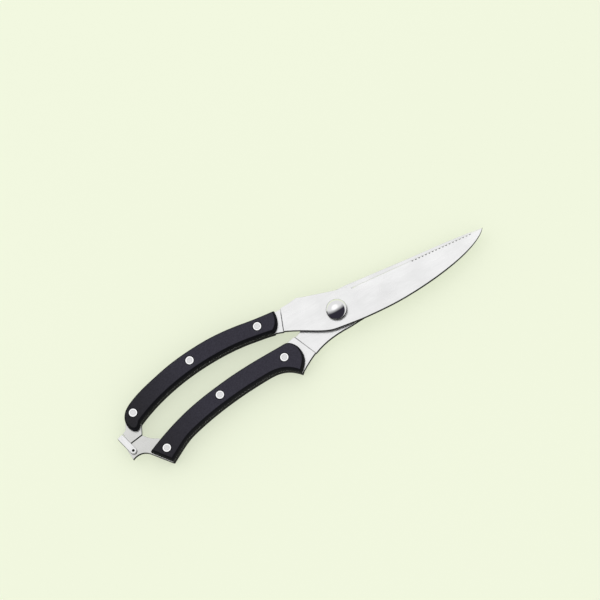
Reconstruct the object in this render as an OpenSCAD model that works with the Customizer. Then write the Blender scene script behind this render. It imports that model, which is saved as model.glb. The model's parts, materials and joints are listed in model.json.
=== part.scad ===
// Poultry shears lying closed on their back: X runs to the blade tips, Y to the upper grip, Z up.
// All shapes are drawn round the pivot axis, with the sliding plane of the blades at height zero,
// and are then set down with the middle of the whole outline on the origin.

/* [Steel halves] */
// Thickness of each steel half
plate_t = 3; // [2.4:0.1:4]
// Running gap between faces that slide on each other
slide_gap = 0.1; // [0.05:0.01:0.2]
// Length of the bend that sets each handle into the middle plane
joggle_len = 0.4; // [0.3:0.1:2]
// Lean of the bend lines at the necks, in degrees
joggle_lean = 21.5; // [10:0.5:30]
// Neck end of the upper scales to the front half's bend
front_bend = 2.1; // [1.9:0.1:4]
// Neck end of the upper scales to the rear half's bend
rear_bend = 5.9; // [5:0.1:8]

/* [Blades] */
// Pivot axis to the blade tips
blade_len = 99; // [85:1:120]
// Drop of the tips below the pivot axis
tip_drop = 2; // [0:0.1:5]
// Depth of the front blade's back below the pivot axis
belly = 14.8; // [13.5:0.1:18]
// Heel of the cutting edges ahead of the pivot axis
heel_x = 14; // [12:0.5:18]
// Height of the front heel above the pivot axis
front_heel = 8.1; // [6.5:0.1:9]
// Depth of the rear heel below the pivot axis
rear_heel = 11.6; // [10:0.1:12]
// Height of the rear blade's back over the heel
rear_back = 11; // [10:0.1:12.5]
// Width of the ground bevel along the cutting edges
bevel_w = 1.6; // [1:0.1:2.2]
// Thickness left along the cutting edges
edge_land = 0.3; // [0.2:0.05:0.6]
// Slope of the long taper that is ground towards the tips
grind_slope = 0.07; // [0.03:0.01:0.09]
// Angle between the grind line and the shears' axis, in degrees
grind_turn = 22; // [15:1:30]

/* [Teeth] */
// Distance from tooth to tooth
tooth_pitch = 2.2; // [1.6:0.1:3]
// Number of gullets in the front edge
tooth_count = 18; // [6:1:22]
// Radius of a gullet
tooth_r = 0.6; // [0.4:0.05:0.8]
// Depth of a gullet behind the edge, square to its run
tooth_bite = 0.3; // [0.2:0.05:0.5]
// Lean of the gullets away from the edge, in degrees from upright
tooth_lean = 30; // [24:1:34]
// Plain edge left between the tip and the first gullet
tooth_lead = 8.4; // [5:0.2:15]

/* [Pivot] */
// Diameter of the bolt's shoulder
bolt_d = 6; // [5:0.1:7]
// Diameter of the bolt's head
head_d = 11; // [9:0.1:13]
// Height of the bolt's head
head_h = 3.3; // [2:0.1:3.4]
// Width of the screwdriver slot
slot_w = 1.4; // [1:0.1:2]
// Depth of the screwdriver slot
slot_deep = 1.3; // [0.8:0.1:1.8]
// Diameter of the bolt's threaded end
thread_d = 4; // [3:0.1:4.6]
// Length of the bolt's threaded end
thread_len = 2.6; // [2:0.1:3]
// Diameter of the domed cap
dome_d = 12.4; // [11:0.1:15]
// Height of the domed cap
dome_h = 4.6; // [4:0.1:6]
// Height of the cap's straight rim
dome_rim = 1.7; // [0.4:0.1:2.2]
// Diameter of the washer under the cap
washer_d = 11.4; // [9:0.1:12.4]
// Thickness of the washer under the cap
washer_t = 0.5; // [0.3:0.05:1]
// Radial clearance of the rear half on the bolt
bolt_play = 0.05; // [0.02:0.01:0.08]
// Radial clearance of pieces that don't turn on each other
snug = 0.02; // [0.01:0.01:0.05]

/* [Opening spring] */
// Wire diameter
wire_d = 0.8; // [0.6:0.05:1]
// Mean diameter of the coil
coil_d = 8.6; // [8:0.1:9.6]
// Number of turns, always ending a quarter short
coil_turns = 1.75; // [0.75:1:1.75]
// Length of the straight legs
leg_len = 8; // [6:0.5:10]
// Room round the wire in its pocket
spring_room = 0.2; // [0.1:0.05:0.3]

/* [Grips] */
// Pivot axis to the neck end of the upper scales
grip_start = 32.3; // [30:0.1:36]
// Length of the upper scales
grip_len = 109.5; // [95:0.5:130]
// Width of the grips at their middle
grip_w = 12.2; // [10.5:0.1:14]
// Width of the upper grip towards its neck
neck_w = 11.5; // [10:0.1:13]
// Open space between the grips at their middle
finger_gap = 15.5; // [12:0.5:24]
// Drop of the lower grip's middle below the pivot axis
lower_drop = 8.2; // [6:0.1:10]
// Thickness of each scale
scale_t = 5; // [4:0.1:7]
// Rounding of the scales' outer edges, measured across
scale_round = 1.5; // [0.8:0.1:2]
// Height of the scales' straight sides below that rounding
scale_foot = 0.4; // [0.2:0.1:2]

/* [Grip rivets] */
// Outer diameter of the rivets
rivet_d = 5; // [4:0.1:6]
// Diameter of the rivets' cores
core_d = 3.2; // [2:0.1:3.6]
// Neck end of the upper scales to their first rivet
upper_neck_rivet = 13.1; // [11:0.1:16]
// Highest place of the upper grip to its middle rivet
upper_middle_rivet = 10.7; // [5:0.1:16]
// Tail end of the upper scales to their last rivet
upper_tail_rivet = 7.1; // [6:0.1:12]
// Neck end of the upper scales to the lower grip's first rivet
lower_neck_rivet = 8.7; // [5:0.1:12]
// Highest place of the upper grip to the lower grip's middle rivet
lower_middle_rivet = 5.7; // [2:0.1:10]
// Tail end of the upper scales to the lower grip's last rivet
lower_tail_rivet = 13.7; // [13:0.1:18]
// Height of the neck rivets above the middle of their grips
neck_rise = 0.3; // [0:0.1:1]

/* [Tail and catch] */
// Slit between the two tangs at the tail
tail_gap = 0.7; // [0.5:0.1:1.2]
// How far the lower tang stands out behind its scales
tang_show = 0.3; // [0.2:0.1:1]
// Width of the catch
catch_w = 4; // [3.4:0.1:5]
// Thickness of the catch
catch_t = 1; // [0.8:0.1:1.4]
// Reach of the catch from its rivet
catch_reach = 12.2; // [10:0.1:14]
// Angle of the catch at rest, in degrees from the shears' axis
catch_turn = 103; // [98:1:108]
// Thickness of the hook at the catch's end
hook_t = 1; // [0.7:0.1:1.5]
// How far the hook reaches down past the catch's back
hook_deep = 2.5; // [1:0.1:3]
// Clearance between the hook and the front tang
hook_play = 0.4; // [0.3:0.05:0.6]
// Thickness of the catch's folded side
fold_t = 0.8; // [0.6:0.1:0.9]
// Rivet to the near end of the folded side
fold_start = 5.4; // [5.4:0.1:8]
// Diameter of the catch's hollow rivet
pin_d = 2.4; // [2:0.1:2.6]
// Bore of the hollow rivet
pin_bore = 1.6; // [1:0.1:1.8]
// Diameter of the hollow rivet's flanges
flange_d = 3.6; // [3:0.1:4]
// Thickness of the hollow rivet's flanges
flange_t = 0.5; // [0.3:0.1:0.8]
// Thickness of the washer under the catch
shim_t = 0.3; // [0.3:0.05:0.6]
// Diameter of the washer under the catch
shim_d = 4; // [3.6:0.1:5]

/* [Hidden] */
$fn = 64;
// Steps in each stretch of a curve
steps = 12;
// Steps in a curve that runs into a sharp corner of a scale
corner_steps = 8;
// Overlap of cutting shapes past the faces that they cut
over = 1;
// More than any length of the shears
far = 400;
steel = [0.86, 0.86, 0.87];
bright_steel = [0.93, 0.93, 0.94];
spring_steel = [0.45, 0.45, 0.48];
black_plastic = [0.2, 0.19, 0.23];

// Heights of the stack of pieces
inner_z = slide_gap / 2;
blade_z = inner_z + plate_t;
tang_z = plate_t / 2;
grip_z = tang_z + scale_t;
dome_z = blade_z + washer_t;
catch_z = tang_z + shim_t;

// Stations along the handles
tail_x = -(grip_start + grip_len);
mid_x = -(grip_start + 0.43 * grip_len);
rear_mid_x = -(grip_start + 0.71 * grip_len);
fore_mid_x = -(grip_start + 0.18 * grip_len);
upper_mid = finger_gap + grip_w - lower_drop;
catch_pin = [tail_x - 4.2, -9.8];
tip = [blade_len, -tip_drop];

// Points of a smooth curve from station a up to, but not with, station b: each is [x, y, slope]
function hermite(a, b) = [
    for (i = [0 : steps - 1])
        let (t = i / steps, w = b[0] - a[0], s = 1 - t)
            [a[0] + w * t,
             s * s * (1 + 2 * t) * a[1] + t * s * s * w * a[2]
             + t * t * (3 - 2 * t) * b[1] - t * t * s * w * b[2]]];

// Points of a smooth curve through a list of stations
function curve(stations) = let (last = len(stations) - 1) [
    for (i = [0 : last - 1]) each hermite(stations[i], stations[i + 1]),
    [stations[last][0], stations[last][1]]];

// Points between a and d, without them, on the curve that b and c pull
function bend(a, b, c, d, n = steps) = [
    for (i = [1 : n - 1])
        let (t = i / n, s = 1 - t)
            s * s * s * a + 3 * s * s * t * b + 3 * s * t * t * c + t * t * t * d];

function backwards(points) = [for (i = [len(points) - 1 : -1 : 0]) points[i]];

// Edge stations at half a grip's width from its middle line, whose stations are [x, y, slope, width]
function beside(line, side) = [
    for (s = line) [s[0], s[1] + side * s[3] / 2 * sqrt(1 + s[2] * s[2]), s[2]]];

function left_normal(a, b) = let (d = (b - a) / norm(b - a)) [-d[1], d[0]];

// A closed outline, drawn anticlockwise, moved in by d
function inset(points, d) = let (n = len(points)) [
    for (i = [0 : n - 1])
        let (before = left_normal(points[(i + n - 1) % n], points[i]),
             after = left_normal(points[i], points[(i + 1) % n]))
            points[i] + d * (before + after) / (1 + before * after)];

// Upper grip: its middle line, from the tail to the neck
upper_line = [
    [tail_x + 8, upper_mid - 10.1, 0.45, grip_w],
    [rear_mid_x, upper_mid - 3, 0.21, grip_w],
    [mid_x, upper_mid, 0, grip_w],
    [fore_mid_x, upper_mid - 2.8, -0.21, neck_w]];
upper_neck_in = [-grip_start - 6.6, upper_mid - 5.9 - neck_w / 2, -0.31];
upper_neck_out = [-grip_start, upper_mid - 5.9 + neck_w / 2, -0.13];
upper_top = curve(concat(beside(upper_line, 1), [upper_neck_out]));
upper_under = curve(concat(beside(upper_line, -1), [upper_neck_in]));
upper_tail = [tail_x, upper_mid - 13.7];
upper_end_top = bend(upper_top[0], upper_top[0] + [-4.7, -2.1], upper_tail + [0, 5], upper_tail);
upper_end_under = bend(upper_tail, upper_tail + [0, -4.6], upper_under[0] + [-4.2, -6], upper_under[0]);
upper_scale = concat(
    backwards(upper_top), upper_end_top, [upper_tail], upper_end_under, upper_under,
    bend([upper_neck_in[0], upper_neck_in[1]], [-grip_start - 3, upper_neck_in[1] + 1.2],
         [-grip_start, upper_neck_out[1] - 6], [-grip_start, upper_neck_out[1]], corner_steps));

upper_tail_at = len(upper_top) + len(upper_end_top);

front_neck_y = (upper_neck_in[1] + upper_neck_out[1]) / 2;

// Lower grip: its middle line, the beak at its neck and the two corners at its tail
lower_line = [
    [rear_mid_x, -lower_drop - 4.8, 0.25, grip_w],
    [mid_x, -lower_drop, 0.09, grip_w],
    [fore_mid_x - 5, -lower_drop + 0.9, 0, grip_w]];
lower_nose = [-grip_start + 2.1, -lower_drop - 2.5];
lower_beak = [-grip_start - 4.5, -lower_drop - 14];
lower_tail_top = [tail_x + 4.2, -lower_drop - 7.8];
lower_tail_heel = [tail_x + 12.8, -lower_drop - 19.9];
lower_neck_top = [-grip_start - 4.8, -lower_drop + 0.6 + grip_w / 2];
lower_top = curve(concat([[lower_tail_top[0], lower_tail_top[1], 0.42]], beside(lower_line, 1),
                         [[lower_neck_top[0], lower_neck_top[1], 0]]));
lower_under = curve(concat([[lower_tail_heel[0], lower_tail_heel[1], 0.5]], beside(lower_line, -1),
                           [[lower_beak[0], lower_beak[1], -1.3]]));
lower_scale = concat(
    backwards(lower_top), lower_under,
    bend(lower_beak, lower_beak + [4, 3.6], lower_nose - [0, 5], lower_nose, corner_steps), [lower_nose],
    bend(lower_nose, lower_nose + [0, 5], lower_neck_top + [3.4, 0.1], lower_neck_top));
lower_nose_at = len(lower_scale) - steps;

// Middle of the slit between the tangs, at a distance x along the shears
function slit_y(x) = catch_pin[1] + 6 + 0.12 * (x - tail_x - 5);

// Nub of the front tang that the hook holds: a low ledge under the hook beside a higher shoulder
hook_r = catch_reach - hook_t;
ledge_y = catch_pin[1] + hook_r - hook_play;
ledge_x = catch_pin[0] + (ledge_y - catch_pin[1]) / tan(catch_turn) + hook_play;
shoulder_x = catch_pin[0] - 0.2;
shoulder_y = ledge_y + 2.1;
nub_right = tail_x + 4.9;
upper_nub = concat(
    bend(upper_tail + [-0.3, 1.4], upper_tail + [-1.2, 0.4], [tail_x - 1, shoulder_y + 0.5],
         [shoulder_x, shoulder_y]),
    [[shoulder_x, shoulder_y], [shoulder_x, ledge_y], [ledge_x, ledge_y],
     [ledge_x, slit_y(ledge_x) + tail_gap / 2], [nub_right, slit_y(nub_right) + tail_gap / 2]]);

// Front half: blade with the teeth above, neck, upper tang and nub
front_heel_at = [heel_x, front_heel];
front_outline = concat(
    [tip, front_heel_at],
    bend(front_heel_at, front_heel_at + [-4, 2], [6, 10.6], [3, 11.7]),
    [[3, 11.7], [-14, 18], [-17, 19.4], [-grip_start + 10, 18.9],
     [-grip_start + 0.8, upper_neck_out[1] - 0.4]],
    backwards(upper_top),
    [for (p = upper_end_top) if (p[1] > upper_tail[1] + 1.6) p],
    upper_nub, upper_under,
    curve([upper_neck_in, [-20, -2.2, -0.65], [-11, -7.6, -0.5], [-3, -10, -0.18],
           [heel_x, 1.9 - belly, -0.12], [40, -belly, 0]]),
    bend([40, -belly], [0.71 * blade_len, -belly], tip + [-6, -7.7], tip));

// Rear half: blade behind the front one, neck, lower tang and the plate that carries the catch
rear_heel_at = [heel_x, -rear_heel];
neck_over = [-grip_start + 3.2, lower_neck_top[1] + 1.3];
rear_tail = [tail_x - 7.2, slit_y(tail_x - 7.2) - tail_gap / 2];
tang_end = [-tang_show, -tang_show / 2];
lower_end = lower_tail_top + 2 * tang_end;
rear_outline = concat(
    backwards(curve([[3, rear_back + 1.1, -0.1], [heel_x, rear_back, -0.14],
                     [0.6 * blade_len, 0.4 * rear_back, -0.13], [tip[0], tip[1], -0.22]])),
    bend([3, rear_back + 1.1], [-14, rear_back + 1.1], neck_over + [5.5, 0], neck_over),
    [neck_over],
    [for (p = backwards(lower_top)) if (p[0] > tail_x + 13) p],
    bend([tail_x + 13, catch_pin[1] - 1.2], [tail_x + 9.5, catch_pin[1]], [tail_x + 7.6, catch_pin[1] + 2],
         [nub_right, slit_y(nub_right) - tail_gap / 2]),
    [[nub_right, slit_y(nub_right) - tail_gap / 2], rear_tail, catch_pin + [-2.8, -4.2]],
    bend(catch_pin + [-2.8, -4.2], catch_pin + [0, -3], catch_pin + [4.4, -2.4], lower_end),
    [lower_end, lower_tail_heel + 1.2 * tang_end], lower_under,
    bend(lower_beak, lower_beak + [11.8, 7], [-17, 0.8 - rear_heel], [2, -rear_heel - 0.3]),
    [[2, -rear_heel - 0.3], rear_heel_at]);

// Rivets of the grips: name and place, half way between the grips' edges at a distance x along them
function half_way(top, under, x) = [x, (lookup(x, top) + lookup(x, under)) / 2];
rivets = [
    ["upper_neck", half_way(upper_top, upper_under, -grip_start - upper_neck_rivet) + [0, neck_rise]],
    ["upper_middle", half_way(upper_top, upper_under, mid_x - upper_middle_rivet)],
    ["upper_tail", half_way(upper_top, upper_under, tail_x + upper_tail_rivet)],
    ["lower_neck", half_way(lower_top, lower_under, -grip_start - lower_neck_rivet) + [0, neck_rise]],
    ["lower_middle", half_way(lower_top, lower_under, mid_x - lower_middle_rivet)],
    ["lower_tail", half_way(lower_top, lower_under, tail_x + lower_tail_rivet)]];

// Middle of the closed shears' outline and the plane that they lie on
catch_left = catch_pin[0] + catch_reach * cos(catch_turn + asin(catch_w / 2 / catch_reach));
top_y = max([for (p = upper_top) p[1]]);
low_y = min([for (p = rear_outline) p[1]]);
middle = [(blade_len + catch_left) / 2, (top_y + low_y) / 2, -grip_z];

// Stands the children where the finished shears lie
module placed() {
    translate(-middle) children();
}

// Round hole along Z through everything
module drill(at, d) {
    translate([at[0], at[1], -far / 2]) cylinder(d = d, h = far);
}

// Holes of the rivets whose names start with a letter
module rivet_holes(first) {
    for (r = rivets)
        if (r[0][0] == first) drill(r[1], rivet_d + 2 * snug);
}

// One steel half before grinding: its outline between the faces of a plate that is bent at the neck
module bent_plate(outline, bend_at, lean) {
    intersection() {
        translate([0, 0, -far / 2]) linear_extrude(far) polygon(outline);
        translate([bend_at[0], bend_at[1], 0]) rotate([90, 0, lean])
            linear_extrude(far, center = true)
                polygon([[-far, -tang_z], [-joggle_len, -tang_z], [0, inner_z], [far, inner_z],
                         [far, blade_z], [0, blade_z], [-joggle_len, tang_z], [-far, tang_z]]);
    }
}

// What is ground off the outer face of a blade whose edge is on its +Y side: long taper and bevel
module ground_off(heel, point) {
    translate([heel[0], heel[1], blade_z]) rotate([-atan(grind_slope), 0, -grind_turn])
        translate([-far / 2, 0, 0]) cube([far, far, far]);
    rise = plate_t - edge_land;
    along_edge(heel, point) rotate([90, 0, 90]) linear_extrude(far)
        polygon([[0, inner_z + edge_land], [over, inner_z + edge_land], [over, blade_z + over],
                 [-bevel_w * (rise + over) / rise, blade_z + over]]);
}

// Places the children with X along a cutting edge, from its heel
module along_edge(heel, point) {
    d = point - heel;
    translate([heel[0], heel[1], 0]) rotate([0, 0, atan2(d[1], d[0])]) children();
}

// Gullets of the toothed edge, filed across its bevel
module gullets(heel, point) {
    first = norm(point - heel) - tooth_lead;
    along_edge(heel, point)
        for (i = [0 : tooth_count - 1])
            translate([first - i * tooth_pitch, 0, inner_z]) rotate([tooth_lean, 0, 0])
                translate([0, tooth_r - tooth_bite, -over])
                    cylinder(r = tooth_r, h = 2 * plate_t, $fn = 24);
}

// Pocket for the coil and a groove for one leg, in the inner face of the half above it; the spread is
// the rise of one turn in wire diameters
coil_r = coil_d / 2;
coil_spread = 1.06;
coil_rise = coil_turns * wire_d * coil_spread;
pocket_z = coil_rise / 2 + wire_d / 2 + spring_room;
groove_w = wire_d + 2 * spring_room;
module spring_pocket(leg_turn) {
    cylinder(d = coil_d + wire_d + 2 * spring_room, h = pocket_z);
    rotate([0, 0, leg_turn]) translate([-leg_len - spring_room, -coil_r - groove_w / 2, 0])
        cube([leg_len + spring_room, groove_w, pocket_z]);
}

module front_blade() {
    color(steel) difference() {
        bent_plate(front_outline, [-grip_start + front_bend, front_neck_y], -joggle_lean);
        ground_off(front_heel_at, tip);
        gullets(front_heel_at, tip);
        drill([0, 0], bolt_d + 2 * snug);
        spring_pocket(0);
        rivet_holes("u");
    }
}

module rear_blade() {
    color(steel) difference() {
        mirror([0, 0, 1]) bent_plate(rear_outline, [-grip_start + rear_bend, -lower_drop], joggle_lean);
        rotate([180, 0, 0]) ground_off([heel_x, rear_heel], [tip[0], -tip[1]]);
        drill([0, 0], bolt_d + 2 * bolt_play);
        rotate([180, 0, 0]) spring_pocket(-90);
        rivet_holes("l");
        drill(catch_pin, pin_d + 2 * snug);
    }
}

// Triangles that fill a ring of n points, in rungs across it from the point at one of its ends
function rungs(n, end) = [
    for (k = [0 : floor(n / 2) - 1])
        let (a = (end + k) % n, b = (end + n - k) % n, c = (a + 1) % n, d = (b + n - 1) % n)
            each concat(a == b ? [] : [[a, c, b]], c == d ? [] : [[b, c, d]])];

// A scale lying on height zero: its outline, with the place of the point at one end in it, and a
// rounded upper edge
module scale_body(outline, end) {
    arc_steps = 5;
    rings = concat([[0, 0]], [for (i = [0 : arc_steps])
        let (a = 90 * i / arc_steps)
            [scale_round * (1 - cos(a)), scale_foot + (scale_t - scale_foot) * sin(a)]]);
    n = len(outline);
    last = len(rings) - 1;
    points = [for (r = rings) for (p = inset(outline, r[0])) [p[0], p[1], r[1]]];
    sides = [for (k = [0 : last - 1]) for (i = [0 : n - 1])
        let (j = (i + 1) % n, a = k * n, b = a + n)
            each [[a + i, b + i, b + j], [a + i, b + j, a + j]]];
    under = rungs(n, end);
    top = [for (t = under) [for (i = [2 : -1 : 0]) last * n + t[i]]];
    polyhedron(points, concat(sides, under, top));
}

// One scale with its rivet holes, on the front or the back of its tang
module grip_scale(outline, end, first, back) {
    color(black_plastic) difference() {
        mirror([0, 0, back ? 1 : 0]) translate([0, 0, tang_z]) scale_body(outline, end);
        rivet_holes(first);
    }
}

module upper_grip_scale(back) {
    grip_scale(upper_scale, upper_tail_at, "u", back);
}

module lower_grip_scale(back) {
    grip_scale(lower_scale, lower_nose_at, "l", back);
}

module rivet_tube(at) {
    color(bright_steel) translate([at[0], at[1], -grip_z]) difference() {
        cylinder(d = rivet_d, h = 2 * grip_z);
        translate([0, 0, -over]) cylinder(d = core_d + 2 * snug, h = 2 * (grip_z + over));
    }
}

module rivet_core(at) {
    color(steel) translate([at[0], at[1], -grip_z]) cylinder(d = core_d, h = 2 * grip_z);
}

// Shoulder bolt from the back: slotted head, plain shoulder and threaded end
module pivot_bolt() {
    head_z = blade_z + slide_gap;
    color(bright_steel) {
        difference() {
            translate([0, 0, -head_z - head_h]) cylinder(d = head_d, h = head_h);
            translate([-head_d, -slot_w / 2, -head_z - head_h - over])
                cube([2 * head_d, slot_w, slot_deep + over]);
        }
        translate([0, 0, -head_z]) cylinder(d = bolt_d, h = head_z + dome_z);
        translate([0, 0, dome_z]) cylinder(d = thread_d, h = thread_len);
    }
}

module pivot_washer() {
    color(bright_steel) difference() {
        translate([0, 0, blade_z]) cylinder(d = washer_d, h = washer_t);
        drill([0, 0], bolt_d + 2 * snug);
    }
}

// Domed cap: a straight rim under a slice of a sphere, with a blind hole for the bolt's end
module pivot_dome() {
    rise = dome_h - dome_rim;
    ball_r = (dome_d * dome_d / 4 + rise * rise) / (2 * rise);
    color(bright_steel) translate([0, 0, dome_z]) difference() {
        intersection() {
            cylinder(d = dome_d, h = dome_h);
            translate([0, 0, dome_h - ball_r]) sphere(r = ball_r);
        }
        translate([0, 0, -over]) cylinder(d = thread_d + 2 * snug, h = thread_len + snug + over);
    }
}

// Opening spring: a close coil round the bolt with a straight leg in each half
module pivot_spring() {
    sides = 8;
    ring_turn = 18;
    count = round(coil_turns * 360 / ring_turn);
    turns = [for (i = [0 : count]) let (a = -90 + i * ring_turn)
        [a, [coil_r * cos(a), coil_r * sin(a), coil_rise * (0.5 - i / count)]]];
    end = turns[count];
    legs = [[-90, turns[0][1] - [leg_len, 0, 0]],
            [end[0], end[1] + leg_len * [-sin(end[0]), cos(end[0]), 0]]];
    path = concat([legs[0]], turns, [legs[1]]);
    points = [for (s = path) for (k = [0 : sides - 1])
        let (q = k * 360 / sides)
            s[1] + wire_d / 2 * [cos(s[0]) * cos(q), sin(s[0]) * cos(q), sin(q)]];
    last = len(path) - 1;
    skin = [for (i = [0 : last - 1]) for (k = [0 : sides - 1])
        let (j = (k + 1) % sides, a = i * sides, b = a + sides)
            each [[a + k, b + k, b + j], [a + k, b + j, a + j]]];
    color(spring_steel)
        polyhedron(points, concat(skin, [[for (k = [0 : sides - 1]) k],
                                         [for (k = [sides - 1 : -1 : 0]) last * sides + k]]));
}

// Catch: a bar round its rivet whose far end is bent back, on one side, into a hook, and whose outer side
// is folded back between the rivet and the hook
module catch() {
    color(bright_steel) translate([catch_pin[0], catch_pin[1], catch_z]) rotate([0, 0, catch_turn])
        difference() {
            union() {
                linear_extrude(catch_t) intersection() {
                    union() {
                        circle(d = catch_w);
                        translate([0, -catch_w / 2]) square([catch_reach, catch_w]);
                    }
                    circle(r = catch_reach);
                }
                translate([0, 0, -hook_deep]) linear_extrude(hook_deep + catch_t / 2) intersection() {
                    union() {
                        difference() {
                            circle(r = catch_reach);
                            circle(r = hook_r);
                        }
                        translate([fold_start, catch_w / 2 - fold_t]) square([catch_reach, fold_t]);
                    }
                    circle(r = catch_reach);
                    square([catch_reach, catch_w / 2]);
                }
            }
            drill([0, 0], pin_d + 2 * bolt_play);
        }
}

module catch_washer() {
    color(bright_steel) difference() {
        translate([catch_pin[0], catch_pin[1], tang_z]) cylinder(d = shim_d, h = shim_t - slide_gap);
        drill(catch_pin, pin_d + 2 * snug);
    }
}

// Hollow rivet with a flange over the catch and one behind the tang
module catch_rivet() {
    top = catch_z + catch_t + slide_gap;
    color(bright_steel) difference() {
        translate([catch_pin[0], catch_pin[1], 0]) {
            translate([0, 0, -tang_z]) cylinder(d = pin_d, h = tang_z + top);
            translate([0, 0, top]) cylinder(d = flange_d, h = flange_t);
            translate([0, 0, -tang_z - flange_t]) cylinder(d = flange_d, h = flange_t);
        }
        drill(catch_pin, pin_bore);
    }
}

placed() front_blade();
placed() rear_blade();
placed() upper_grip_scale(false);  // upper_front_scale
placed() upper_grip_scale(true);  // upper_back_scale
placed() lower_grip_scale(false);  // lower_front_scale
placed() lower_grip_scale(true);  // lower_back_scale
placed() pivot_bolt();
placed() pivot_washer();
placed() pivot_dome();
placed() pivot_spring();
placed() catch();
placed() catch_washer();
placed() catch_rivet();
for (r = rivets) {
    placed() rivet_tube(r[1]);
    placed() rivet_core(r[1]);
}
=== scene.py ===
# %% [markdown]
# Poultry shears lying closed on their back. The frame holds each piece of the shears as a plain solid in
# its real place and size, so the first step is to load it and to note the few places that the rest of
# this lesson is measured from: the pivot of the blades and the rivet of the tail catch.

# %% Load the frame
import json
import math

import bpy
from mathutils import Matrix, Vector


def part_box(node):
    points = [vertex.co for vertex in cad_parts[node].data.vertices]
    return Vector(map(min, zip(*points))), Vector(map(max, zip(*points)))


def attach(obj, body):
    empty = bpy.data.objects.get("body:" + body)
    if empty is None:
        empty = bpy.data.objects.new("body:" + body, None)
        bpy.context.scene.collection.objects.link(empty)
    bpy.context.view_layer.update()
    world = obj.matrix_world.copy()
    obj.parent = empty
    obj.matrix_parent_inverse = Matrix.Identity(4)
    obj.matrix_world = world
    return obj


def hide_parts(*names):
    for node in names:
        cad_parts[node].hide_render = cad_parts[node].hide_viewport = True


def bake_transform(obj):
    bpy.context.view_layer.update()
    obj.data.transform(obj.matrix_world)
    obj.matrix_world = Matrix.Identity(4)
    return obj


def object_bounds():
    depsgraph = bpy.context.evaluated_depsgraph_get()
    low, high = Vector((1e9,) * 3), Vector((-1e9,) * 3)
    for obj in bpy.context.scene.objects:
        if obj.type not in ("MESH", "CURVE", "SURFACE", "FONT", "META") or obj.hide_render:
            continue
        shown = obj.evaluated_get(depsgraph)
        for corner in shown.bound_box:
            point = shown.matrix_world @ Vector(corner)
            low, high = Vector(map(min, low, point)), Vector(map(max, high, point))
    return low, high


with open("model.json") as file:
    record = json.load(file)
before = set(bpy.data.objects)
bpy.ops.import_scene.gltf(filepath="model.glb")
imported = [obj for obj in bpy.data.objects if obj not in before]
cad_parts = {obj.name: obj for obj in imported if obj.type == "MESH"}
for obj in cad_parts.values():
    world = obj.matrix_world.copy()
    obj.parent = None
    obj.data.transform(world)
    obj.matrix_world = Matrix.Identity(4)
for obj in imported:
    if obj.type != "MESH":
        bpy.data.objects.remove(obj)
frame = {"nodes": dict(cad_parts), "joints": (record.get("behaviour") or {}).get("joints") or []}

MM = 0.001
cad_low, cad_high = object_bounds()
nodes = frame["nodes"]
joints = {joint["name"]: joint for joint in frame["joints"]}
pivot = Vector(joints["blade_pivot"]["pos_m"])
catch_pin = Vector(joints["catch_pivot"]["pos_m"])
print("frame:", len(nodes), "nodes,", [round(v / MM, 1) for v in cad_high - cad_low], "mm")

# %% [markdown]
# The picture looks down on the shears, a little from the side of the lower grip, and the whole view is
# turned so that the blades point up and to the right. A long lens from far away keeps the two blades in
# proportion. The camera is set by its own three axes: right, up and back.

# %% Camera
view_tilt = math.radians(17)
view_roll = math.radians(31)
aim = pivot + Vector((-15.63, 17.9, 0)) * MM
view_width = 355.4 * MM
camera_distance = 9.0

camera_back = Vector((0, -math.sin(view_tilt), math.cos(view_tilt)))
level_up = Vector((0, math.cos(view_tilt), math.sin(view_tilt)))
level_right = Vector((1, 0, 0))
camera_right = math.cos(view_roll) * level_right - math.sin(view_roll) * level_up
camera_up = math.sin(view_roll) * level_right + math.cos(view_roll) * level_up

bpy.ops.object.select_all(action="DESELECT")
bpy.ops.object.camera_add(location=aim + camera_distance * camera_back)
camera = bpy.context.object
camera.rotation_euler = Matrix((camera_right, camera_up, camera_back)).transposed().to_euler()
camera.data.lens = camera.data.sensor_width * camera_distance / view_width
camera.data.clip_end = 3 * camera_distance
bpy.context.scene.camera = camera
print("camera: lens", round(camera.data.lens), "mm")

# %% [markdown]
# Most pieces here are thin steel or hard plastic whose outlines are already right in the frame. What they
# lack is what the hand notices first: broken edges, soft bends and smooth curves. They could be drawn
# afresh, but a copy of the solid keeps every outline in its place. So a piece usually starts as such a
# copy, merged and with the flat parts joined into whole faces.

# %% Copies of solids
doubles = 0.001 * MM
level_enough = math.radians(0.4)


def select_only(piece):
    bpy.ops.object.select_all(action="DESELECT")
    piece.select_set(True)
    bpy.context.view_layer.objects.active = piece


def copy_of(node, name):
    """A new piece from a node's solid, merged, with each flat part as one face."""
    piece = bpy.data.objects.new(name, nodes[node].data.copy())
    piece.data.name = name
    piece.data.materials.clear()
    bpy.context.scene.collection.objects.link(piece)
    select_only(piece)
    bpy.ops.object.mode_set(mode="EDIT")
    bpy.ops.mesh.select_all(action="SELECT")
    bpy.ops.mesh.remove_doubles(threshold=doubles)
    bpy.ops.mesh.dissolve_limited(angle_limit=level_enough)
    bpy.ops.object.mode_set(mode="OBJECT")
    return piece


# %% [markdown]
# The copy is then worked in edit mode. A person would pick the edges with the mouse; here a test picks
# them by their place and direction, and the bevel operator breaks them. Bevels can leave slivers with no
# area where two of them meet, so these are cleared before the shading is set.

# %% Broken edges and smooth shading
slivers = 0.002 * MM


def anywhere(middle, run):
    return True


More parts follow.
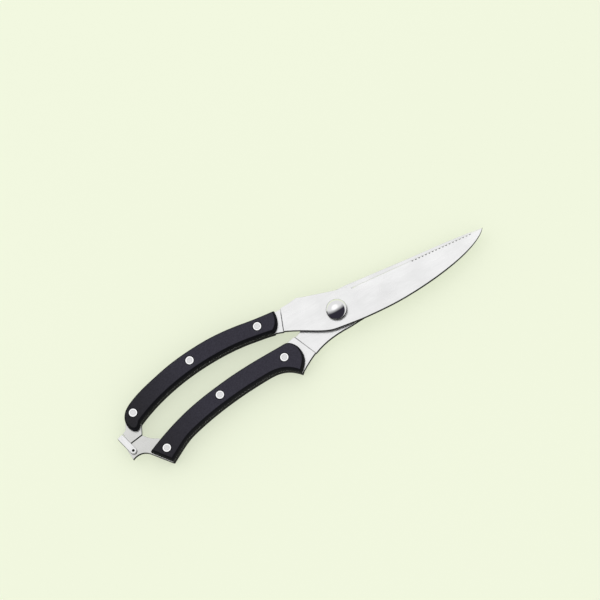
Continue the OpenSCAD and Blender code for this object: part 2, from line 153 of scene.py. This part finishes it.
def soften(piece, width, segments, wanted, sharpness=30):
    """Bevels the sharp edges whose middle and run (from end to end) pass a test."""
    select_only(piece)
    bpy.ops.object.mode_set(mode="EDIT")
    bpy.ops.mesh.select_mode(type="EDGE")
    bpy.ops.mesh.select_all(action="DESELECT")
    bpy.ops.mesh.edges_select_sharp(sharpness=math.radians(sharpness))
    bpy.ops.object.mode_set(mode="OBJECT")
    points = piece.data.vertices
    count = 0
    for edge in piece.data.edges:
        start, end = (points[i].co for i in edge.vertices)
        edge.select = edge.select and wanted((start + end) / 2, end - start)
        count += edge.select
    for face in piece.data.polygons:
        face.select = False
    bpy.ops.object.mode_set(mode="EDIT")
    bpy.ops.mesh.bevel(offset=width, segments=segments, profile=0.5, affect="EDGES", clamp_overlap=False)
    bpy.ops.object.mode_set(mode="OBJECT")
    return count


def smooth(piece, angle=40):
    """Clears the slivers that bevels leave, and shades smoothly with broad faces kept flat."""
    select_only(piece)
    bpy.ops.object.mode_set(mode="EDIT")
    bpy.ops.mesh.select_all(action="SELECT")
    bpy.ops.mesh.remove_doubles(threshold=slivers)
    bpy.ops.mesh.dissolve_degenerate(threshold=slivers)
    bpy.ops.object.mode_set(mode="OBJECT")
    bpy.ops.object.shade_smooth_by_angle(angle=math.radians(angle))
    flat = piece.modifiers.new("flat faces", "WEIGHTED_NORMAL")
    flat.keep_sharp = True
    bpy.ops.object.modifier_apply(modifier=flat.name)


# %% [markdown]
# A finished piece has to move with its half of the shears and to stand for the solid it was made from. A
# plate that is ground on its faces and carries painted shade on its upright edges could be split into
# several objects, but that would open seams. So one piece carries several finishes, and each face takes
# one by where it lies and which way it points.

# %% Dressing a piece
def dress(piece, body, slot, replaced, *materials):
    """Puts a finished piece on its body, in place of its node, with its materials."""
    for material in materials:
        piece.data.materials.append(material)
    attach(piece, body)
    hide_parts(replaced)


def paint(piece, number, wanted):
    """Gives the faces whose centre and normal pass a test the material of that number."""
    for face in piece.data.polygons:
        if wanted(face.center, face.normal):
            face.material_index = number


# %% [markdown]
# Every finish below is a Principled shader whose colour, roughness and relief come from noise laid over
# the piece in its own coordinates. Noise that is stretched along one axis turns into the fine parallel
# scratches of a belt or a polishing wheel. An image could be laid on instead, but it would have to be
# unwrapped and would blur close up. These helpers make a shader and the values that drive it.

# %% Noise for finishes
def new_finish(name, metallic, specular=0.5):
    material = bpy.data.materials.new(name)
    material.use_nodes = True
    shader = material.node_tree.nodes["Principled BSDF"]
    shader.inputs["Metallic"].default_value = metallic
    shader.inputs["Specular IOR Level"].default_value = specular
    return material, material.node_tree, shader


def grain(tree, size, stretch=(1, 1, 1), detail=4.0):
    """Noise whose grains are about one size, in metres, times the stretch along each axis."""
    place = tree.nodes.new("ShaderNodeTexCoord")
    fit = tree.nodes.new("ShaderNodeMapping")
    fit.inputs["Scale"].default_value = [1 / s for s in stretch]
    noise = tree.nodes.new("ShaderNodeTexNoise")
    noise.inputs["Scale"].default_value = 1 / size
    noise.inputs["Detail"].default_value = detail
    tree.links.new(place.outputs["Object"], fit.inputs["Vector"])
    tree.links.new(fit.outputs["Vector"], noise.inputs["Vector"])
    return noise.outputs["Fac"]


def spread(tree, value, low, high, start=0.3, end=0.7):
    """A value between start and end, spread from low to high."""
    span = tree.nodes.new("ShaderNodeMapRange")
    span.inputs["From Min"].default_value = start
    span.inputs["From Max"].default_value = end
    span.inputs["To Min"].default_value = low
    span.inputs["To Max"].default_value = high
    tree.links.new(value, span.inputs["Value"])
    return span.outputs["Result"]


def along_shears(tree, start, end):
    """How far a point lies along the shears, from 0 at the start to 1 at the end."""
    place = tree.nodes.new("ShaderNodeTexCoord")
    parts = tree.nodes.new("ShaderNodeSeparateXYZ")
    tree.links.new(place.outputs["Object"], parts.inputs["Vector"])
    return spread(tree, parts.outputs["X"], 0, 1, start, end)


# %% [markdown]
# The same values turn into a tone between two colours, into a second tone that darkens the first, and
# into a fine relief of the surface. Scratches and pebbles this small could be modelled, but a bump in
# the shader shows them as well and adds no faces.

# %% Colour and relief of finishes
def grey(level):
    return (level, level, level)


def blend(tree, value, dark, light, start=0.3, end=0.7):
    """A colour that goes from dark to light as the value goes from start to end."""
    ramp = tree.nodes.new("ShaderNodeValToRGB")
    for stop, position, colour in zip(ramp.color_ramp.elements, (start, end), (dark, light)):
        stop.position = position
        stop.color = (*colour, 1)
    tree.links.new(value, ramp.inputs["Fac"])
    return ramp.outputs["Color"]


def times(tree, colour, shade):
    """A colour darkened by another one."""
    mix = tree.nodes.new("ShaderNodeMix")
    mix.data_type = "RGBA"
    mix.blend_type = "MULTIPLY"
    mix.inputs["Factor"].default_value = 1
    tree.links.new(colour, mix.inputs["A"])
    tree.links.new(shade, mix.inputs["B"])
    return mix.outputs["Result"]


def relief(tree, shader, value, depth, strength):
    bump = tree.nodes.new("ShaderNodeBump")
    bump.inputs["Distance"].default_value = depth
    bump.inputs["Strength"].default_value = strength
    tree.links.new(value, bump.inputs["Height"])
    tree.links.new(bump.outputs["Normal"], shader.inputs["Normal"])


# %% [markdown]
# Both halves are stamped from stainless sheet and ground on a belt, so their faces carry fine scratches
# along the blade and look satin, nearly white under a broad light. Towards the tail they turn greyer and a
# little warmer: partly the mill skin where the belt never came, partly painted shade for the soft box's
# light falling off there. Wide, weak clouds in the tone and the roughness stand for the places that hands
# have touched.

# %% Steel faces
def ground_steel(name, dark, light, rough, scratch, run=(1, 1, 1)):
    material, tree, shader = new_finish(name, metallic=1)
    scratches = grain(tree, scratch, run)
    colour = blend(tree, scratches, dark, light)
    tree.links.new(colour, shader.inputs["Base Color"])
    clouds = spread(tree, grain(tree, 18 * MM, detail=2), rough - 0.03, rough + 0.03)
    tree.links.new(clouds, shader.inputs["Roughness"])
    relief(tree, shader, scratches, depth=0.004 * MM, strength=0.35)
    return material, tree, shader, colour


def satin_blade(name):
    belt = (60, 1, 1)
    material, tree, shader, colour = ground_steel(name, grey(0.76), grey(0.82), 0.25, 0.16 * MM, belt)
    # The tail's greyer, warmer tone is partly mill skin and partly painted shade.
    tail_to_blade = along_shears(tree, -105 * MM, -70 * MM)
    mill_skin_and_shade = blend(tree, tail_to_blade, (0.79, 0.79, 0.77), grey(1), 0, 1)
    touched = grain(tree, 9 * MM, (1.6, 1, 1), detail=3)
    stains = blend(tree, touched, grey(0.9), grey(0.99))
    tree.links.new(times(tree, times(tree, colour, mill_skin_and_shade), stains), shader.inputs["Base Color"])
    return material


blade_face = satin_blade("satin blade")
honed_edge = ground_steel("honed edge", grey(0.88), grey(0.93), 0.2, 0.1 * MM)[0]
# Painted shade: dark grey steel that stands in for the shadow inside the gullets.
gullet_shade = ground_steel("painted gullet shade", grey(0.14), grey(0.24), 0.4, 0.1 * MM)[0]
bright_steel = ground_steel("bright steel", grey(0.70), grey(0.77), 0.24, 0.2 * MM, (1, 20, 1))[0]
ring_steel = ground_steel("polished ring", grey(0.84), grey(0.90), 0.2, 0.25 * MM)[0]
core_steel = ground_steel("ground core", grey(0.62), grey(0.74), 0.34, 0.2 * MM, (12, 1, 1))[0]
spring_steel = ground_steel("drawn wire", grey(0.16), grey(0.30), 0.35, 0.1 * MM)[0]
print("steel finishes:", len(bpy.data.materials))

# %% [markdown]
# Two more finishes for the same steel. The upright edges get painted shade: a dull near-black that draws
# the thin dark outline that a dark room in front of the shears would give them. The pivot's cap is the
# opposite, a perfect mirror with only a breath of unevenness.

# %% Painted edge shade and mirror
# Painted shade: a dull near-black that stands in for the dark that the upright edges would reflect.
def painted_shade_steel(name):
    material, tree, shader = new_finish(name, metallic=0, specular=0.05)
    streaks = grain(tree, 0.3 * MM, (1, 1, 8))
    tree.links.new(blend(tree, streaks, grey(0.004), grey(0.012)), shader.inputs["Base Color"])
    tree.links.new(spread(tree, streaks, 0.5, 0.7), shader.inputs["Roughness"])
    relief(tree, shader, streaks, depth=0.02 * MM, strength=0.3)
    return material


def polished_steel(name):
    material, tree, shader = new_finish(name, metallic=1)
    tree.links.new(blend(tree, grain(tree, 0.6 * MM), grey(0.86), grey(0.89)), shader.inputs["Base Color"])
    relief(tree, shader, grain(tree, 2.5 * MM, detail=1), depth=0.002 * MM, strength=0.3)
    shader.inputs["Roughness"].default_value = 0
    return material


painted_edge_shade = painted_shade_steel("painted edge shade")
mirror_steel = polished_steel("mirror cap")
print("all steel finishes:", len(bpy.data.materials))

# %% [markdown]
# The grips are charcoal plastic with a slight violet cast. Their faces turn darker and less violet
# towards the tail, and blacker where they round over, which is painted shade. Their sides get painted
# shade too: a dull, nearly black finish.

# %% Grip finishes
def moulded(name, dark, light, rough, specular):
    material, tree, shader = new_finish(name, metallic=0, specular=specular)
    pebbles = grain(tree, 0.8 * MM, detail=6)
    colour = blend(tree, pebbles, dark, light)
    tree.links.new(colour, shader.inputs["Base Color"])
    clouds = spread(tree, grain(tree, 9 * MM, detail=3), rough - 0.05, rough + 0.05)
    tree.links.new(clouds, shader.inputs["Roughness"])
    relief(tree, shader, pebbles, depth=0.02 * MM, strength=0.3)
    return material, tree, shader, colour


def flatness(tree):
    """1 on faces that lie level, less where they tilt."""
    place = tree.nodes.new("ShaderNodeTexCoord")
    parts = tree.nodes.new("ShaderNodeSeparateXYZ")
    size = tree.nodes.new("ShaderNodeMath")
    size.operation = "ABSOLUTE"
    tree.links.new(place.outputs["Normal"], parts.inputs["Vector"])
    tree.links.new(parts.outputs["Z"], size.inputs[0])
    return size.outputs["Value"]


def grip_with_painted_shade(name):
    charcoal, ash = (0.023, 0.021, 0.032), (0.040, 0.038, 0.054)
    material, tree, shader, colour = moulded(name, charcoal, ash, rough=0.5, specular=0.16)
    # Darker and less violet towards the tail.
    tail_to_neck = along_shears(tree, -116 * MM, -68 * MM)
    tail_tone = blend(tree, tail_to_neck, (0.42, 0.43, 0.35), grey(1), 0, 1)
    # Painted shade: blacker where the face rounds over.
    rounding_shade = blend(tree, flatness(tree), grey(0.2), grey(1), 0.75, 0.97)
    tree.links.new(times(tree, times(tree, colour, tail_tone), rounding_shade), shader.inputs["Base Color"])
    return material


grip_face = grip_with_painted_shade("grip face with painted shade")
# Painted shade: a near-black, dull finish for the grips' sides, lower chamfers and rivet rings.
grip_side_shade = moulded("grip side painted shade", (0.004, 0.004, 0.006), (0.008, 0.008, 0.011), 0.7, 0.06)[0]
print("finishes:", len(bpy.data.materials))

# %% [markdown]
# Each blade has a cutting edge from its heel near the pivot to the tip, ground to a bevel. The teeth of
# the front one are gullets filed across that bevel. Which faces are the bevel and which are gullets
# follows from how far they lie beside the edge and how high they stand above the plane that the blades
# slide on. They could be picked by hand, one by one, but a measured test treats both blades alike. All
# places are counted from the pivot.

# %% Cutting edges
edge_heel = 14 * MM
edge_tip = Vector((99, -2)) * MM
front_heel_y = 8.1 * MM
rear_heel_y = -11.6 * MM
bevel_width = 1.6 * MM
bevel_height = 2.7 * MM
bevel_foot = 0.35 * MM
edge_room = 2.4 * MM
turned_away = -0.3


def cutting_edge(heel_y):
    """Tests for what lies by the cutting edge whose heel is that far across from the pivot."""
    heel = Vector((edge_heel, heel_y))
    to_tip = (edge_tip - heel).normalized()
    outward = Vector((-to_tip.y, to_tip.x)) * math.copysign(1, heel_y)

    def beside(point):
        return abs(((point - pivot).to_2d() - heel).dot(outward))

    def by_the_edge(point):
        past_heel = ((point - pivot).to_2d() - heel).dot(to_tip) > -edge_room
        return past_heel and beside(point) < edge_room

    def faces_out(normal):
        return normal.to_2d().dot(outward) > turned_away

    def below_the_bevel(point):
        height = abs(point.z - pivot.z) - bevel_foot
        return beside(point) * bevel_height / bevel_width - height

    return by_the_edge, faces_out, below_the_bevel


print("cutting edges:", round((edge_tip.x - edge_heel) / MM), "mm along the shears")

# %% [markdown]
# At its neck each half steps over into the plane of the handles. The edges of that step cross the neck at
# a slant and run straight, so they are known by their direction, and their faces by their distance from
# those edges. A bend could be told by its angle alone, but so many other edges of the plate are as sharp
# that the direction is the safer sign.

# %% Bends at the necks
bend_lean = math.radians(21.5)
neck_reach = 40 * MM
shortest_bend = 4 * MM
bend_room = 0.8 * MM
parallel = 0.995
mainly = 0.8


def neck_bend(lean):
    """Tests for the edges and the faces of the step that crosses a neck at that lean."""
    across = Vector((-math.sin(lean), math.cos(lean), 0))
    along = Vector((math.cos(lean), math.sin(lean), 0))
    places = set()

    def on_the_bend(middle, run):
        at_the_neck = pivot.x - neck_reach < middle.x < pivot.x
        if at_the_neck and run.length > shortest_bend and abs(run.normalized().dot(across)) > parallel:
            places.add(middle.dot(along))
            return True
        return False

    def in_the_bend(centre, normal):
        near = min(abs(centre.dot(along) - place) for place in places) < bend_room
        return near and abs(normal.dot(along)) > mainly * normal.to_2d().length

    return on_the_bend, in_the_bend


print("bends lean", round(math.degrees(bend_lean), 1), "degrees")

# %% [markdown]
# Each half is one plate: blade, neck and handle in one. The stamped rim gets a narrow broken edge, and
# the step at the neck gets a rounder one, because sheet steel never bends sharply. The cutting edges and
# their teeth stay as sharp as they are. Then the faces get their finish by the way they point: painted
# shade where they stand upright, painted shade in the gullets between the teeth, and honed on the bevel.

# %% Blade halves
bend_round = 0.25 * MM
rim_break = 0.14 * MM
tip_room = 5 * MM
bolt_room = 7.5 * MM
hair = 0.03 * MM
upright = 0.6
level = 0.95


def steel_half(node, body, heel_y, lean):
    piece = copy_of(node, node + "_steel")
    by_the_edge, faces_out, below_the_bevel = cutting_edge(heel_y)
    on_the_bend, in_the_bend = neck_bend(lean)

    def on_the_rim(middle, run):
        place = (middle - pivot).to_2d()
        inner = place.length < bolt_room or (place - edge_tip).length < tip_room
        return not (inner or by_the_edge(middle) or on_the_bend(middle, run))

    def is_dark(centre, normal):
        if abs(normal.z) > upright or in_the_bend(centre, normal):
            return False
        return not (by_the_edge(centre) and faces_out(normal))

    def is_a_gullet(centre, normal):
        on_an_edge = by_the_edge(centre) and faces_out(normal)
        return on_an_edge and abs(normal.z) < upright and below_the_bevel(centre) > hair

    def is_the_bevel(centre, normal):
        return by_the_edge(centre) and abs(normal.z) < level and abs(below_the_bevel(centre)) < hair

    bend_edges = soften(piece, bend_round, 3, on_the_bend)
    rim_edges = soften(piece, rim_break, 2, on_the_rim, sharpness=50)
    smooth(piece)
    dress(piece, body, "blade_steel", node, blade_face, painted_edge_shade, gullet_shade, honed_edge)
    # Painted shade on the upright walls.
    paint(piece, 1, is_dark)
    # Painted shade in the gullets between the teeth.
    paint(piece, 2, is_a_gullet)
    paint(piece, 3, is_the_bevel)
    print(piece.name, "bend edges", bend_edges, "rim edges", rim_edges, "faces", len(piece.data.polygons))


steel_half("front_blade", "front_half", front_heel_y, -bend_lean)
steel_half("rear_blade", "rear_half", rear_heel_y, bend_lean)

# %% [markdown]
# Three rivets hold each pair of scales through its tang. A narrow chamfer on the face that lies on the
# steel leaves a fine dark line where plastic meets metal, and a wider one round each rivet sets it off
# with a dark ring. Both are partly real shade and partly painted shade, like the sides.

# %% Grip scales
rivet_places = ("neck", "middle", "tail")
hole_chamfer = 0.45 * MM
ring_room = hole_chamfer + 0.15 * MM
hole_room = 0.2 * MM
lower_chamfer = 0.16 * MM
lower_from = 1 * MM
face_room = 0.1 * MM
side_below = 0.8
ring_below = 0.97


def grip_scale(grip, side, body):
    node = "_".join((grip, side, "scale"))
    piece = copy_of(node, node + "_grip")
    low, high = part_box(node)
    face_z = high.z if side == "front" else low.z
    boxes = [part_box("_".join((grip, place, "rivet_tube"))) for place in rivet_places]
    rivets = [((a + b) / 2).to_2d() for a, b in boxes]
    rivet_r = (boxes[0][1].x - boxes[0][0].x) / 2

    def by_a_rivet(point, room):
        return min((point.to_2d() - at).length for at in rivets) < rivet_r + room

    def at_a_hole(middle, run):
        return by_a_rivet(middle, hole_room) and abs(middle.z - face_z) < face_room

    def on_the_steel(middle, run):
        return abs(middle.z - face_z) > lower_from and not by_a_rivet(middle, hole_room)

    holes = soften(piece, hole_chamfer, 3, at_a_hole)
    edges = soften(piece, lower_chamfer, 2, on_the_steel, sharpness=60)
    smooth(piece)
    dress(piece, body, "grip", node, grip_face, grip_side_shade)
    # Painted shade on the sides and the outer part of the lower chamfer.
    paint(piece, 1, lambda centre, normal: abs(normal.z) < side_below)
    # Painted shade on the chamfer round each rivet.
    paint(piece, 1, lambda centre, normal: abs(normal.z) < ring_below and by_a_rivet(centre, ring_room))
    print(piece.name, "hole edges", holes, "lower edges", edges, "faces", len(piece.data.polygons))


for side in ("front", "back"):
    grip_scale("upper", side, "front_half")
    grip_scale("lower", side, "rear_half")

# %% [markdown]
# A handle rivet is a bright sleeve round a duller core, and both are rubbed down level with the plastic.
# The sleeve could be one cylinder taken out of another, but a cut like that leaves ragged faces. Here it
# is a cylinder whose ends are inset and opened, with the two holes bridged into a bore.

# %% Rivet sleeve
sleeve_low, sleeve_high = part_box("upper_neck_rivet_tube")
core_low, core_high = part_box("upper_neck_rivet_core")
sleeve_r = (sleeve_high.x - sleeve_low.x) / 2
core_r = (core_high.x - core_low.x) / 2
rivet_len = sleeve_high.z - sleeve_low.z
bore_r = core_r + 0.02 * MM
sleeve_break = 0.12 * MM
round_sides = 64
end_facing = 0.9
end_middle = 0.1 * MM


def upright_cylinder(name, radius, height):
    bpy.ops.object.select_all(action="DESELECT")
    bpy.ops.mesh.primitive_cylinder_add(vertices=round_sides, radius=radius, depth=height)
    piece = bpy.context.object
    piece.name = name
    piece.data.name = name
    return piece


def select_ends(piece):
    """In edit mode, selects the flat faces at both ends of an upright piece."""
    bpy.ops.mesh.select_mode(type="FACE")
    bpy.ops.mesh.select_all(action="DESELECT")
    bpy.ops.object.mode_set(mode="OBJECT")
    for face in piece.data.polygons:
        face.select = abs(face.normal.z) > end_facing and face.center.to_2d().length < end_middle
    bpy.ops.object.mode_set(mode="EDIT")


def model_sleeve():
    piece = upright_cylinder("rivet_sleeve_model", sleeve_r, rivet_len)
    bpy.ops.object.mode_set(mode="EDIT")
    select_ends(piece)
    bpy.ops.mesh.inset(thickness=sleeve_r - bore_r, use_individual=True)
    bpy.ops.mesh.delete(type="ONLY_FACE")
    bpy.ops.mesh.select_all(action="DESELECT")
    bpy.ops.mesh.select_mode(type="EDGE")
    bpy.ops.mesh.select_non_manifold()
    bpy.ops.mesh.bridge_edge_loops()
    bpy.ops.mesh.select_all(action="SELECT")
    bpy.ops.mesh.normals_make_consistent(inside=False)
    bpy.ops.object.mode_set(mode="OBJECT")
    soften(piece, sleeve_break, 3, anywhere)
    smooth(piece)
    return piece


sleeve_model = model_sleeve()
print("sleeve", round(2 * sleeve_r / MM, 2), "mm wide, faces", len(sleeve_model.data.polygons))

# %% [markdown]
# The core is a cylinder with a shallow dish in each end, as a punch leaves it. A flat end would shine
# like the sleeve's. The sloping wall of the dish mirrors another part of the room, and that sets the two
# apart. One inset with some depth makes it.

# %% Rivet core
dish_deep = 0.12 * MM
dish_rim = 0.35 * core_r
core_break = 0.08 * MM


def model_core():
    piece = upright_cylinder("rivet_core_model", core_r, rivet_len)
    bpy.ops.object.mode_set(mode="EDIT")
    select_ends(piece)
    bpy.ops.mesh.inset(thickness=dish_rim, depth=-dish_deep, use_individual=True)
    bpy.ops.object.mode_set(mode="OBJECT")
    soften(piece, core_break, 2, anywhere)
    smooth(piece)
    return piece


core_model = model_core()
print("core", round(2 * core_r / MM, 2), "mm wide, faces", len(core_model.data.polygons))

# %% [markdown]
# Both models are then copied to the six places where the frame has its sleeves and cores. Linked copies
# would share one mesh, but each rivet has its place in its own mesh, so that its scratches stay with it.
# The models themselves are removed.

# %% Rivets in place
def copies_at_rivets(model, kind, slot, finish):
    made = 0
    for grip, body in (("upper", "front_half"), ("lower", "rear_half")):
        for place in rivet_places:
            node = "_".join((grip, place, "rivet", kind))
            low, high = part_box(node)
            piece = bpy.data.objects.new(node + "_steel", model.data.copy())
            piece.data.name = piece.name
            bpy.context.scene.collection.objects.link(piece)
            piece.location = (low + high) / 2
            select_only(piece)
            bpy.ops.object.transform_apply(location=True, rotation=False, scale=False)
            dress(piece, body, slot, node, finish)
            made += 1
    bpy.data.objects.remove(model)
    return made


sleeves = copies_at_rivets(sleeve_model, "tube", "rivet_ring", ring_steel)
cores = copies_at_rivets(core_model, "core", "rivet_core", core_steel)
print("rivets:", sleeves, "sleeves and", cores, "cores")

# %% [markdown]
# The pivot's cap is turned from bar and polished like a mirror. Its profile could be spun round the axis,
# but a mirror shows every kink, and a ball has none. So a ball is cut off at the height of the cap's rim,
# and its cut is closed and drawn down into the straight rim. The rim's two edges are broken, and its
# wall gets painted shade, the dark line that a shadow under the cap would draw.

# %% Pivot cap
cap_low, cap_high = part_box("pivot_dome")
cap_r = (cap_high.x - cap_low.x) / 2
at_the_rim = 0.99 * cap_r
cap_break = 0.2 * MM
ball_parts = 96
cap_points = [point.co for point in nodes["pivot_dome"].data.vertices]
rim_top = max(point.z for point in cap_points if (point - pivot).to_2d().length > at_the_rim)
rim_h = rim_top - cap_low.z
dome_rise = cap_high.z - cap_low.z - rim_h
ball_r = (cap_r ** 2 + dome_rise ** 2) / (2 * dome_rise)
rim_middle = (pivot.x, pivot.y, rim_top)
dome_slope = 1 - dome_rise / ball_r
wall_below = 0.95 * dome_slope

bpy.ops.object.select_all(action="DESELECT")
bpy.ops.mesh.primitive_uv_sphere_add(segments=ball_parts, ring_count=ball_parts, radius=ball_r)
cap = bpy.context.object
cap.name = "pivot_dome_cap"
cap.data.name = cap.name
cap.location = (pivot.x, pivot.y, cap_high.z - ball_r)
bpy.ops.object.transform_apply(location=True, rotation=False, scale=False)
bpy.ops.object.mode_set(mode="EDIT")
bpy.ops.mesh.select_all(action="SELECT")
bpy.ops.mesh.bisect(plane_co=rim_middle, plane_no=(0, 0, 1), use_fill=True, clear_inner=True)
bpy.ops.mesh.extrude_region_move(TRANSFORM_OT_translate={"value": (0, 0, -rim_h)})
bpy.ops.mesh.select_all(action="SELECT")
bpy.ops.mesh.remove_doubles(threshold=doubles)
bpy.ops.mesh.normals_make_consistent(inside=False)
bpy.ops.object.mode_set(mode="OBJECT")
soften(cap, cap_break, 3, anywhere)
smooth(cap)
dress(cap, "front_half", "polished_cap", "pivot_dome", mirror_steel, painted_edge_shade)
# Painted shade on the cap's upright wall.
paint(cap, 1, lambda centre, normal: abs(normal.z) < wall_below)
print(cap.name, "rim", round(rim_h / MM, 2), "mm high, faces", len(cap.data.polygons))

# %% [markdown]
# The small steel pieces that are left are turned or stamped: the slotted bolt behind the pivot, the
# catch with its hook, and the hollow rivet that the catch swings on. Their copies need broken edges,
# narrow on the turned ones and rounder on the rivet, whose flanges are rolled over. The catch is stamped
# and folded from sheet, which draws the outline of its upper face in, so that edge is the roundest. What
# stands upright gets painted shade, as on the blades, and on the catch it reaches over part of the rolled
# edge; the bolt gets none and is bright all over.

# %% Bolt, catch and hollow rivet
catch_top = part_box("catch")[1].z
brim_roll = 0.3 * MM
brim_inside = 1.6 * MM


def on_the_brim(middle, run):
    """The outline of the catch's upper face, without its hole."""
    on_top = middle.z > catch_top - face_room
    return on_top and (middle - catch_pin).to_2d().length > brim_inside


def small_steel(node, body, width, segments, dark_below, brim=None):
    piece = copy_of(node, node + "_steel")
    rolled = soften(piece, brim_roll, 3, brim) if brim else 0
    edges = soften(piece, width, segments, anywhere, sharpness=40)
    smooth(piece)
    dress(piece, body, "bright_steel", node, bright_steel, painted_edge_shade)
    # Painted shade on the faces that stand upright.
    paint(piece, 1, lambda centre, normal: abs(normal.z) < dark_below)
    print(piece.name, "rolled edges", rolled, "broken edges", edges)


small_steel("pivot_bolt", "front_half", 0.15 * MM, 2, dark_below=0)
small_steel("catch", "catch", 0.12 * MM, 2, dark_below=0.7, brim=on_the_brim)
small_steel("catch_rivet", "rear_half", 0.15 * MM, 3, dark_below=0.35)

# %% [markdown]
# The opening spring is a coil of drawn wire round the bolt, hidden between the blades, with a leg in each
# half. On the shears it twists as they open; here it stays where it lies and is tied to neither half. Its
# wire only needs round shading and broken ends.

# %% Opening spring
wire_break = 0.1 * MM
spring = copy_of("pivot_spring", "pivot_spring_wire")
wire_ends = soften(spring, wire_break, 2, anywhere, sharpness=60)
smooth(spring, 50)
spring.data.materials.append(spring_steel)
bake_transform(spring)
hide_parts("pivot_spring")
print(spring.name, "end edges", wire_ends, "faces", len(spring.data.polygons))

# %% [markdown]
# The two washers show only as thin lines under the cap and the catch. They could be copied and softened
# like the rest, but none of that would be seen, so their solids stay as they are in the frame and only
# take a finish.

# %% Washers
for node in ("pivot_washer", "catch_washer"):
    nodes[node].data.materials.clear()
    nodes[node].data.materials.append(bright_steel)

# %% [markdown]
# The shears lie on a plain pale floor that is wide enough for any view. Part of its brightness is a glow
# that only the camera and the steel's reflections see, so that the shadows on it stay light and it throws
# little of its own colour on the shears.

# %% Floor
floor_size = 8
floor_gap = 0.05 * MM
floor_glow = 0.53
floor_dark, floor_light = (0.42, 0.44, 0.35), (0.43, 0.45, 0.36)
floor_tint = (0.94, 1, 0.79, 1)

bpy.ops.object.select_all(action="DESELECT")
bpy.ops.mesh.primitive_plane_add(size=floor_size, location=(0, 0, cad_low.z - floor_gap))
floor = bpy.context.object
floor.name = "floor"
floor_finish, tree, shader = new_finish("pale floor", metallic=0, specular=0.2)
shader.inputs["Roughness"].default_value = 0.9
shader.inputs["Emission Color"].default_value = floor_tint
floor_tone = blend(tree, grain(tree, 0.4, detail=1), floor_dark, floor_light)
tree.links.new(floor_tone, shader.inputs["Base Color"])
rays = tree.nodes.new("ShaderNodeLightPath").outputs
seen = rays["Is Camera Ray"]
for ray in ("Is Glossy Ray", "Is Transmission Ray"):
    either = tree.nodes.new("ShaderNodeMath")
    either.operation = "MAXIMUM"
    tree.links.new(seen, either.inputs[0])
    tree.links.new(rays[ray], either.inputs[1])
    seen = either.outputs["Value"]
tree.links.new(spread(tree, seen, 0, floor_glow, 0, 1), shader.inputs["Emission Strength"])
floor.data.materials.append(floor_finish)
print("floor:", floor_size, "m wide, glow", floor_glow)

# %% [markdown]
# Steel looks like what stands around it. A pale room lights everything evenly, and a broad soft box that
# hangs above and behind the shears makes their faces nearly white. Its cloth glows most in the middle, so
# that the mirror cap shows a soft spot and not a hard window.

# %% Light
room_strength = 0.85
softbox_at = Vector((-0.03, 0.42, 0.82))
softbox_width = 1.3
softbox_depth = 1.0
softbox_watts = 1.4
cloth_full = 0.2
cloth_end = 0.5

room = bpy.data.worlds.new("pale room")
bpy.context.scene.world = room
room.use_nodes = True
background = room.node_tree.nodes["Background"]
background.inputs["Strength"].default_value = room_strength

bpy.ops.object.select_all(action="DESELECT")
bpy.ops.object.light_add(type="AREA", location=softbox_at)
softbox = bpy.context.object
softbox.name = "soft box"
softbox.rotation_euler = (aim - softbox_at).to_track_quat("-Z", "Y").to_euler()
softbox.data.shape = "RECTANGLE"
softbox.data.size = softbox_width
softbox.data.size_y = softbox_depth
softbox.data.energy = softbox_watts
softbox.data.use_nodes = True
cloth = softbox.data.node_tree
cloth_place = cloth.nodes.new("ShaderNodeTexCoord")
from_middle = cloth.nodes.new("ShaderNodeVectorMath")
from_middle.operation = "DISTANCE"
from_middle.inputs[1].default_value = (0.5, 0.5, 0)
cloth.links.new(cloth_place.outputs["UV"], from_middle.inputs[0])
cloth_glow = spread(cloth, from_middle.outputs["Value"], 1, 0, cloth_full, cloth_end)
cloth.links.new(cloth_glow, cloth.nodes["Emission"].inputs["Strength"])
bpy.context.scene.view_settings.view_transform = "Standard"
print("light: soft box", softbox_watts, "W")

# %% [markdown]
# The mirror cap would look flat in a room that is pale all round. A photographer hangs the near half of
# the room with dark cloth, which fills the lower half of the cap, and leaves a low strip open beside the
# blades, which draws a bright crescent along its rim. Here the room is dark only to rays that come off a
# perfect mirror, so it takes no light from anything else.

# %% Dark half of the room
dark_side = Vector((-0.02, -0.92, -0.40))
dark_from = -0.56
dark_all = -0.12
above_strip = Vector((-0.2, 0, 1))
strip_end = 0.08
strip_clear = 0.16
dark_cloth = (0.04, 0.037, 0.052)


def towards(tree, way):
    """How far a look into the room goes one way."""
    place = tree.nodes.new("ShaderNodeTexCoord")
    part = tree.nodes.new("ShaderNodeVectorMath")
    part.operation = "DOT_PRODUCT"
    part.inputs[1].default_value = way
    tree.links.new(place.outputs["Generated"], part.inputs[0])
    return part.outputs["Value"]


def both(tree, first, second):
    product = tree.nodes.new("ShaderNodeMath")
    product.operation = "MULTIPLY"
    tree.links.new(first, product.inputs[0])
    tree.links.new(second, product.inputs[1])
    return product.outputs["Value"]


tree = room.node_tree
near_half = spread(tree, towards(tree, dark_side), 0, 1, dark_from, dark_all)
over_the_strip = spread(tree, towards(tree, above_strip), 0, 1, strip_end, strip_clear)
off_a_mirror = tree.nodes.new("ShaderNodeLightPath").outputs["Is Singular Ray"]
hung = both(tree, both(tree, near_half, over_the_strip), off_a_mirror)
tree.links.new(blend(tree, hung, grey(1), dark_cloth, 0, 1), background.inputs["Color"])
print("room:", len(tree.nodes), "nodes")
